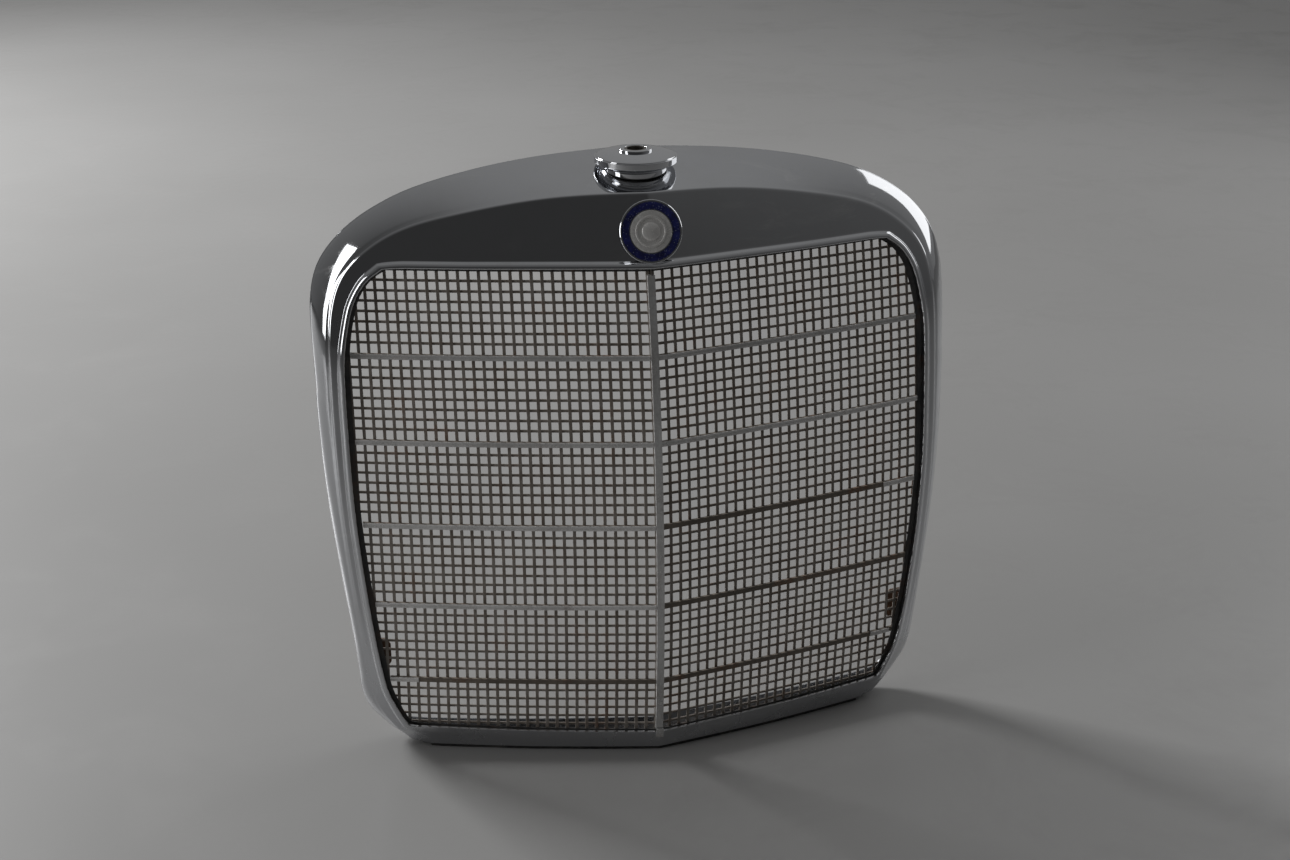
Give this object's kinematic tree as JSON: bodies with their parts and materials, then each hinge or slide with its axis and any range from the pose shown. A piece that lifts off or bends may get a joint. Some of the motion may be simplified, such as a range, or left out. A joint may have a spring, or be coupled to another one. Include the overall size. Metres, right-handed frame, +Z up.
{
  "type": "upright front grille",
  "caption": "Chromed grille shell round a vee-shaped, barrelled mesh grid with cross bars, a centre bar, a plain round badge and an ornament socket on the crown.",
  "frame": {"origin": "centre of the bounding box in X and Y, at the level the base pad stands on", "axes": "+X to the right of someone facing the grille, +Y rearwards into the car, +Z up; the shell is symmetrical about X = 0"},
  "size_m": [0.5716, 0.153, 0.539],
  "materials": {
    "shell_chrome": "worn chrome plate over steel",
    "pad_rubber": "black rubber",
    "frame_metal": "dark satin paint",
    "grid_metal": "dull plated steel with rust tint",
    "bar_metal": "brown primer and rust",
    "trim_bright": "dull bright trim",
    "centre_bright": "satin bright strip",
    "post_metal": "black paint",
    "fastener_zinc": "zinc plate",
    "bracket_metal": "rusty steel",
    "badge_chrome": "chrome",
    "badge_enamel": "deep blue enamel",
    "badge_silver": "silvered disc",
    "gasket_rubber": "black rubber",
    "ornament_chrome": "chrome",
    "tube_steel": "machined steel"
  },
  "bodies": {
    "root": {"badge_centre_plate": "badge_silver", "badge_cup": "badge_chrome", "badge_enamel_ring": "badge_enamel", "badge_gasket": "gasket_rubber", "badge_nut": "fastener_zinc", "badge_plain_dome": "badge_silver", "badge_plain_ring": "badge_silver", "badge_washer": "fastener_zinc", "base_pad": "pad_rubber", "bracket_rivets": "fastener_zinc", "centre_bar": "centre_bright", "centre_post": "post_metal", "clip_nuts": "fastener_zinc", "clip_screws": "fastener_zinc", "clip_studs": "fastener_zinc", "left_bar_1": "bar_metal", "left_bar_2": "bar_metal", "left_bar_3": "bar_metal", "left_bar_4": "bar_metal", "left_bar_5": "bar_metal", "left_grid_cross_wires": "grid_metal", "left_grid_uprights": "grid_metal", "left_insert_clips": "bracket_metal", "left_insert_frame": "frame_metal", "left_lower_bracket": "bracket_metal", "left_trim_1": "trim_bright", "left_trim_2": "trim_bright", "left_trim_3": "trim_bright", "left_trim_4": "trim_bright", "left_trim_stub_5": "trim_bright", "left_upper_bracket": "bracket_metal", "ornament_cover": "ornament_chrome", "ornament_gasket": "gasket_rubber", "ornament_seat": "ornament_chrome", "right_bar_1": "bar_metal", "right_bar_2": "bar_metal", "right_bar_3": "bar_metal", "right_bar_4": "bar_metal", "right_bar_5": "bar_metal", "right_grid_cross_wires": "grid_metal", "right_grid_uprights": "grid_metal", "right_insert_clips": "bracket_metal", "right_insert_frame": "frame_metal", "right_lower_bracket": "bracket_metal", "right_trim_1": "trim_bright", "right_trim_2": "trim_bright", "right_trim_stub_3": "trim_bright", "right_trim_stub_5": "trim_bright", "right_upper_bracket": "bracket_metal", "shell": "shell_chrome", "socket_collar": "ornament_chrome", "socket_nut": "fastener_zinc", "socket_tube": "tube_steel", "socket_wedge_washer": "fastener_zinc"}
  },
  "joints": []
}
